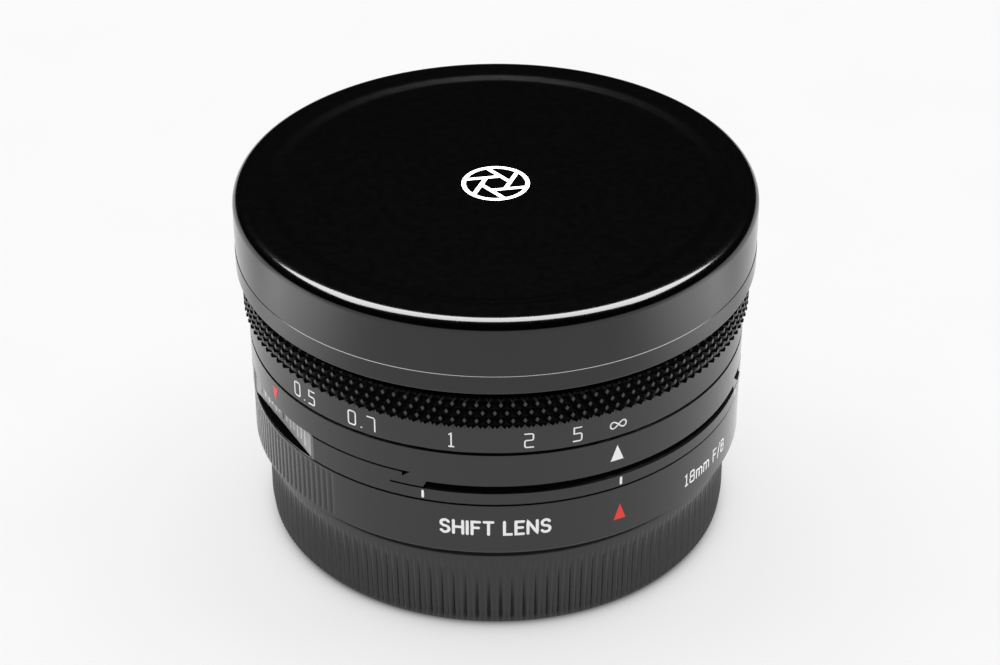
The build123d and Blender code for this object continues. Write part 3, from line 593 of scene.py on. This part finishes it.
def stroke(paint, path, width, wrap, closed=False):
    """A painted line of even width with round ends."""
    path = [Vector(point) for point in path]
    pairs = list(zip(path, path[1:] + path[:1] if closed else path[1:]))
    fine = []
    for start, end in pairs:
        pieces = max(1, math.ceil((end - start).length / 0.3))
        fine += [start.lerp(end, piece / pieces) for piece in range(pieces)]
    if not closed:
        fine.append(path[-1])
    half = width / 2
    sections = []
    count = len(fine)
    for index, point in enumerate(fine):
        before = fine[index - 1] if closed or index else None
        after = fine[(index + 1) % count] if closed or index < count - 1 else None
        into = (point - before).normalized() if before else (after - point).normalized()
        away = (after - point).normalized() if after else into
        along = (into + away).normalized()
        side = Vector((-along.y, along.x)) * half / max(0.6, along.dot(into))
        ends = [(0, 1)]
        if not closed and index == 0:
            ends = [(-math.sin(math.radians(a)), math.cos(math.radians(a))) for a in (82, 55, 28, 0)]
        if not closed and index == count - 1:
            ends = [(math.sin(math.radians(a)), math.cos(math.radians(a))) for a in (0, 28, 55, 82)]
        for reach, share in ends:
            middle = point + along * half * reach
            sections.append([tuple(middle + side * share), tuple(middle - side * share)])
    slab(paint, sections, wrap, closed)


def wedge(paint, along, base, apex, half, wrap, steps=6):
    """A painted triangle, from its base to its apex."""
    sections = []
    for step in range(steps + 1):
        share = 1 - 0.97 * step / steps
        height = base + (apex - base) * step / steps
        row = [(along + half * share * offset, height) for offset in (-1, -0.5, 0, 0.5, 1)]
        sections.append(row if apex < base else row[::-1])
    slab(paint, sections, wrap)


def arc(x, y, wide, tall, start, end, steps=6):
    """Points of an elliptical arc, from one angle to another."""
    turns = [math.radians(start + (end - start) * step / steps) for step in range(steps + 1)]
    return [(x + wide * math.cos(turn), y + tall * math.sin(turn)) for turn in turns]


def loop(width, low, high, corner):
    """A closed rounded box, as a path."""
    return (
        arc(width - corner, low + corner, corner, corner, -90, 0, 4)
        + arc(width - corner, high - corner, corner, corner, 0, 90, 4)
        + arc(corner, high - corner, corner, corner, 90, 180, 4)
        + arc(corner, low + corner, corner, corner, 180, 270, 4)
    )


# Each glyph is its width and its strokes, for a height of 1; a stroke is (closed, path)
GLYPHS = {
    "0": (0.54, [(True, loop(0.54, 0, 1, 0.15))]),
    "1": (0.3, [(False, [(0.02, 0.9), (0.15, 1), (0.15, 0)]), (False, [(0, 0), (0.3, 0)])]),
    "2": (0.54, [(False, [(0, 1)] + arc(0.41, 0.87, 0.13, 0.13, 90, 0, 4)
                  + arc(0.41, 0.65, 0.13, 0.13, 0, -90, 4) + arc(0.13, 0.39, 0.13, 0.13, 90, 180, 4)
                  + [(0, 0.1), (0.06, 0), (0.54, 0)])]),
    "5": (0.54, [(False, [(0.52, 1), (0.04, 1), (0.04, 0.56)] + arc(0.4, 0.42, 0.14, 0.14, 90, 0, 4)
                  + arc(0.4, 0.14, 0.14, 0.14, 0, -90, 4) + [(0, 0)])]),
    "7": (0.54, [(False, [(0, 1), (0.46, 1), (0.54, 0.9), (0.54, 0)])]),
    "8": (0.54, [(True, loop(0.54, 0, 0.52, 0.14)),
                 (True, [(x + 0.03, y) for x, y in loop(0.48, 0.52, 1, 0.13)])]),
    ".": (0.04, [(False, [(0, 0.02), (0.04, 0.02)])]),
    "/": (0.36, [(False, [(0, -0.08), (0.36, 1.08)])]),
    " ": (0.16, []),
    "m": (0.76, [(False, [(0, 0), (0, 0.72)]),
                 (False, arc(0.19, 0.53, 0.19, 0.19, 180, 0, 6) + [(0.38, 0)]),
                 (False, arc(0.57, 0.53, 0.19, 0.19, 180, 0, 6) + [(0.76, 0)])]),
    "E": (0.5, [(False, [(0.5, 1), (0, 1), (0, 0), (0.5, 0)]), (False, [(0, 0.52), (0.44, 0.52)])]),
    "F": (0.5, [(False, [(0.5, 1), (0, 1), (0, 0)]), (False, [(0, 0.52), (0.42, 0.52)])]),
    "H": (0.62, [(False, [(0, 0), (0, 1)]), (False, [(0.62, 0), (0.62, 1)]),
                 (False, [(0, 0.52), (0.62, 0.52)])]),
    "I": (0.02, [(False, [(0, 0), (0, 1)])]),
    "L": (0.46, [(False, [(0, 1), (0, 0), (0.46, 0)])]),
    "N": (0.62, [(False, [(0, 0), (0, 1), (0.62, 0), (0.62, 1)])]),
    "S": (0.56, [(False, arc(0.28, 0.76, 0.26, 0.24, 25, 270, 10)
                  + arc(0.28, 0.26, 0.28, 0.26, 90, -155, 10)[1:])]),
    "T": (0.58, [(False, [(0, 1), (0.58, 1)]), (False, [(0.29, 1), (0.29, 0)])]),
    "∞": (1.16, [(True, [
        (0.58 + 0.56 * math.cos(t) / (1 + 0.35 * math.sin(t) ** 2),
         0.5 + 0.56 * math.sin(t) * math.cos(t) / (1 + 0.35 * math.sin(t) ** 2))
        for t in [2 * math.pi * (step + 0.5) / 28 for step in range(28)]])]),
}


def write(paint, text, angle, low, height, width, wrap, radius, gap=0.3):
    """Letters centred on an angle of a ring; gap is the space between letters, per height."""
    wides = [GLYPHS[letter][0] for letter in text]
    along = math.radians(angle) * radius - height * (sum(wides) + gap * (len(text) - 1)) / 2
    for letter, wide in zip(text, wides):
        for closed, path in GLYPHS[letter][1]:
            placed = [(along + x * height, low + y * height) for x, y in path]
            stroke(paint, placed, width, wrap, closed)
        along += height * (wide + gap)


def new_paint():
    """Points, faces and the count of strokes of one painted piece."""
    return [], [], [0]


def painted(name, paint, body, material):
    """Turns collected strokes into a piece."""
    solid(name, paint[0], paint[1], body, "black_anodised", material, crease=40.0)


DISTANCES = (("∞", 0.0), ("5", -9.7), ("2", -20.5), ("1", -37.4), ("0.7", -58.5), ("0.5", -75.4))
DIGIT_LOW, DIGIT_TALL, DIGIT_LINE, DIGIT_GAP = 26.3, 1.78, 0.17, 0.42
scale = new_paint()
band_wrap = on_ring(STAGE_R)
for text, angle in DISTANCES:
    middle = angle + UPPER_MARKS + 0.1
    write(scale, text, middle, DIGIT_LOW, DIGIT_TALL, DIGIT_LINE, band_wrap, STAGE_R, DIGIT_GAP)
painted("distance_scale", scale, "focus_ring", white_paint)

index_mark = new_paint()
at = math.radians(UPPER_MARKS) * STAGE_R
wedge(index_mark, at, base=22.35, apex=24.35, half=0.82, wrap=band_wrap)
painted("stage_index", index_mark, "shift_stage", white_paint)

SIDE_MARK_ANGLE = -88.4
side_mark = new_paint()
at = math.radians(SIDE_MARK_ANGLE) * STAGE_R
wedge(side_mark, at, base=24.55, apex=22.75, half=0.62, wrap=band_wrap)
painted("stage_shift_index", side_mark, "shift_stage", red_paint)

CLICKS = 8
FLAT_CLICK = 6          # the flat for the shift scale takes this tick's place
TICK_LOW, TICK_HIGH, TICK_LINE = 18.95, 19.7, 0.3
ticks = new_paint()
for step in range(CLICKS):
    angle = LOWER_MARKS + 360 / CLICKS * step
    if step == FLAT_CLICK:
        continue
    at = math.radians(angle) * TURN_R
    stroke(ticks, [(at, TICK_LOW), (at, TICK_HIGH)], TICK_LINE, on_ring(TURN_R))
painted("turning_ring_ticks", ticks, "rotator", white_paint)

SHIFT_RANGE = 6
PLATE_HALF, PLATE_LOW, PLATE_HIGH = 7.6, TURN_TOP - 3.3, TURN_TOP - 0.25
PLATE_STEPS = 40
# A light grey plate laid on the flat of the turning ring
plate = new_paint()
plate_rows = [-PLATE_HALF + 2 * PLATE_HALF * step / PLATE_STEPS for step in range(PLATE_STEPS + 1)]
slab(plate, [[(along, PLATE_HIGH), (along, PLATE_LOW)] for along in plate_rows], on_facet)
painted("shift_scale_plate", plate, "rotator", light_grey_flat)

LINE_TOP, ZERO_FOOT, ODD_FOOT, EVEN_FOOT = 21.5, 19.3, 19.6, 19.2
scale_lines = new_paint()
zero_line = new_paint()
for shift in range(-SHIFT_RANGE, SHIFT_RANGE + 1):
    if shift == 0:
        stroke(zero_line, [(0, ZERO_FOOT), (0, LINE_TOP)], 0.24, on_facet)
        continue
    foot = ODD_FOOT if shift % 2 else EVEN_FOOT
    stroke(scale_lines, [(shift, foot), (shift, LINE_TOP)], 0.16, on_facet)
painted("shift_scale", scale_lines, "rotator", white_paint)
painted("shift_scale_zero", zero_line, "rotator", red_paint)

mount_mark = new_paint()
body_wrap = on_ring(BODY_R)
at = math.radians(LOWER_MARKS) * BODY_R
wedge(mount_mark, at, base=13.95, apex=16.0, half=0.78, wrap=body_wrap)
painted("mount_index", mount_mark, "mount_body", red_paint)

words = new_paint()
write(words, "SHIFT LENS", angle=-28.3, low=14.4, height=1.7, width=0.34, wrap=body_wrap, radius=BODY_R)
write(words, "18mm F/8", angle=29.2, low=13.9, height=1.5, width=0.2, wrap=body_wrap, radius=BODY_R)
painted("mount_lettering", words, "mount_body", white_paint)

IRIS_RADIUS, IRIS_HOLE, IRIS_LINE = 3.7, 1.7, 0.5
IRIS_BLADES = 6
BLADE_TURN = 360 / IRIS_BLADES
IRIS_START = 10
iris = new_paint()
stroke(iris, arc(0, 0, IRIS_RADIUS, IRIS_RADIUS, 0, 355, 71), IRIS_LINE, on_cap, True)
for blade in range(IRIS_BLADES):
    turn = math.radians(BLADE_TURN * blade + IRIS_START)
    corner = Vector((math.cos(turn), math.sin(turn))) * IRIS_HOLE
    turn += math.radians(BLADE_TURN)
    beside = Vector((math.cos(turn), math.sin(turn))) * IRIS_HOLE
    along = (beside - corner).normalized()
    middle = corner.dot(along)
    reach = math.sqrt(IRIS_RADIUS**2 - corner.length_squared + middle**2) - middle
    stroke(iris, [tuple(corner), tuple(corner + along * reach)], IRIS_LINE, on_cap)
painted("cap_glyph", iris, "front_cap", white_paint)

# ---------------------------------------------------------------- stage, light and camera
# Lengths are in metres from here on
FLOOR_HALF = 3.0
FLOOR_GLOW = 0.72
SIDE_GLOW = 1.4
# Painted contact shadow: the floor's glow is taken away round the foot of the lens
PAINTED_SHADOW_START = (REAR_R - 1.6) * MM    # the foot's shade: no glow at this radius,
PAINTED_SHADOW_HALF = 1.18 * MM               # half of it this much further out
PAINTED_SHADOW_POWER = 2.86
# The side glow, a painted brighter reflection for the sides of the rings, grows away from the middle,
# and fades towards the back and the front
SIDE_NEAR, SIDE_FULL = 0.058, 0.09
BACK_NONE, BACK_FULL = 0.03, 0.0
FRONT_NONE, FRONT_FULL = -0.09, -0.02


def math_node(tree, operation, first, second):
    """The output of a maths node; a value is a socket or a number."""
    made = tree.nodes.new("ShaderNodeMath")
    made.operation = operation
    for socket, value in zip(made.inputs, (first, second)):
        if isinstance(value, (int, float)):
            socket.default_value = value
        else:
            tree.links.new(value, socket)
    return made.outputs["Value"]


def ramp(tree, value, start, end):
    """A smooth step from 0 to 1 while the value goes from start to end."""
    made = tree.nodes.new("ShaderNodeMapRange")
    made.interpolation_type = "SMOOTHSTEP"
    made.inputs["From Min"].default_value = start
    made.inputs["From Max"].default_value = end
    tree.links.new(value, made.inputs["Value"])
    return made.outputs["Result"]


def glowing(name, side_glow):
    """The pale floor's finish, which glows. Its emission falls off towards the foot of the lens, a
    painted contact shadow, and the side glow, a painted brightening for the reflections in the rings,
    is added well off to both sides."""
    material = finish(
        name, grey(0.058), grey(0.062), 0.9, grain=40.0,
        Emission_Color=(1, 1, 1, 1), Specular_IOR_Level=0.0,
    )
    tree = material.node_tree
    place = tree.nodes.new("ShaderNodeTexCoord").outputs["Object"]
    radius = tree.nodes.new("ShaderNodeVectorMath")
    radius.operation = "LENGTH"
    tree.links.new(place, radius.inputs[0])
    # painted contact shadow: the glow falls to nothing at the foot of the lens
    reach = math_node(tree, "SUBTRACT", radius.outputs["Value"], PAINTED_SHADOW_START)
    reach = math_node(tree, "MAXIMUM", reach, 0.0)
    steep = math_node(tree, "POWER", math_node(tree, "DIVIDE", reach, PAINTED_SHADOW_HALF), PAINTED_SHADOW_POWER)
    share = math_node(tree, "DIVIDE", steep, math_node(tree, "ADD", steep, 1.0))
    facing = tree.nodes.new("ShaderNodeVectorRotate")
    facing.rotation_type = "Z_AXIS"
    facing.inputs["Angle"].default_value = -math.radians(AZIMUTH)
    tree.links.new(place, facing.inputs["Vector"])
    axes = tree.nodes.new("ShaderNodeSeparateXYZ")
    tree.links.new(facing.outputs["Vector"], axes.inputs["Vector"])
    aside = ramp(tree, math_node(tree, "ABSOLUTE", axes.outputs["X"], 0.0), SIDE_NEAR, SIDE_FULL)
    behind = ramp(tree, axes.outputs["Y"], BACK_NONE, BACK_FULL)
    before = ramp(tree, axes.outputs["Y"], FRONT_NONE, FRONT_FULL)
    more = math_node(tree, "MULTIPLY", math_node(tree, "MULTIPLY", aside, behind), before)
    more = math_node(tree, "MULTIPLY", more, side_glow)
    glow = math_node(tree, "MULTIPLY", math_node(tree, "ADD", more, 1.0), FLOOR_GLOW)
    strength = math_node(tree, "MULTIPLY", share, glow)
    tree.links.new(strength, tree.nodes["Principled BSDF"].inputs["Emission Strength"])
    return material


def sheet(name, azimuth, near, far, depth, height, material):
    """A flat rectangle, from near to far across, square to an azimuth."""
    square = Matrix.Rotation(math.radians(azimuth), 3, "Z")
    corners = ((near, -depth), (far, -depth), (far, depth), (near, depth))
    mesh = bpy.data.meshes.new(name)
    mesh.from_pydata(
        [tuple(square @ Vector((across, along, height))) for across, along in corners],
        [], [(0, 1, 2, 3)],
    )
    mesh.materials.append(material)
    made = bpy.data.objects.new(name, mesh)
    bpy.context.scene.collection.objects.link(made)
    return made


sheet("floor", 0, -FLOOR_HALF, FLOOR_HALF, FLOOR_HALF, 0, glowing("pale floor", 0.0))

# Two low glowing cards beside the lens paint a brighter reflection into the sides of the rings. Only
# reflections show them.
CARD_NEAR, CARD_FAR, CARD_DEPTH, CARD_LIFT = 0.055, 0.4, 0.12, 0.0002
card_glow_finish = glowing("glowing reflection card", SIDE_GLOW)
for name, side in (("glow_card_left", -1), ("glow_card_right", 1)):
    near, far = side * CARD_NEAR, side * CARD_FAR
    card = sheet(name, AZIMUTH, near, far, CARD_DEPTH, CARD_LIFT, card_glow_finish)
    card.visible_camera = False
    card.visible_diffuse = False
    card.visible_shadow = False

world = bpy.data.worlds.new("studio")
world.use_nodes = True
world.node_tree.nodes["Background"].inputs["Color"].default_value = (0.5, 0.5, 0.5, 1)
world.node_tree.nodes["Background"].inputs["Strength"].default_value = 0.02
bpy.context.scene.world = world


def towards(azimuth, elevation):
    """The direction from the lens to a light or to the camera."""
    turn, rise = math.radians(azimuth), math.radians(elevation)
    return Vector((math.sin(turn) * math.cos(rise), -math.cos(turn) * math.cos(rise), math.sin(rise)))


def lamp(name, azimuth, elevation, distance, wide, deep, watts):
    """A rectangular soft light that faces the lens."""
    light = bpy.data.lights.new(name, "AREA")
    light.shape = "RECTANGLE"
    light.size = wide
    light.size_y = deep
    light.energy = watts
    made = bpy.data.objects.new(name, light)
    bpy.context.scene.collection.objects.link(made)
    made.matrix_world = (
        Matrix.Translation(towards(azimuth, elevation) * distance)
        @ Matrix.Rotation(math.radians(azimuth), 4, "Z")
        @ Matrix.Rotation(math.radians(90 - elevation), 4, "X")
    )
    return made


lamp("overhead_softbox", AZIMUTH, elevation=102.0, distance=1.0, wide=1.7, deep=0.75, watts=58.0)
fill = lamp("front_fill", AZIMUTH - 10, elevation=22.0, distance=1.2, wide=0.9, deep=0.6, watts=6.5)
fill.visible_glossy = False

camera_data = bpy.data.cameras.new("camera")
camera_data.sensor_width = 36.0
camera_data.lens = FOCAL
camera_data.clip_start = 0.01
camera = bpy.data.objects.new("camera", camera_data)
bpy.context.scene.collection.objects.link(camera)
camera.matrix_world = (
    Matrix.Translation((Vector((0, 0, AIM_HEIGHT)) + towards(AZIMUTH, ELEVATION) * DISTANCE) * MM)
    @ Matrix.Rotation(math.radians(AZIMUTH + YAW), 4, "Z")
    @ Matrix.Rotation(math.radians(90 - PITCH), 4, "X")
    @ Matrix.Rotation(math.radians(ROLL), 4, "Z")
)
bpy.context.scene.camera = camera
bpy.context.scene.view_settings.view_transform = "Standard"
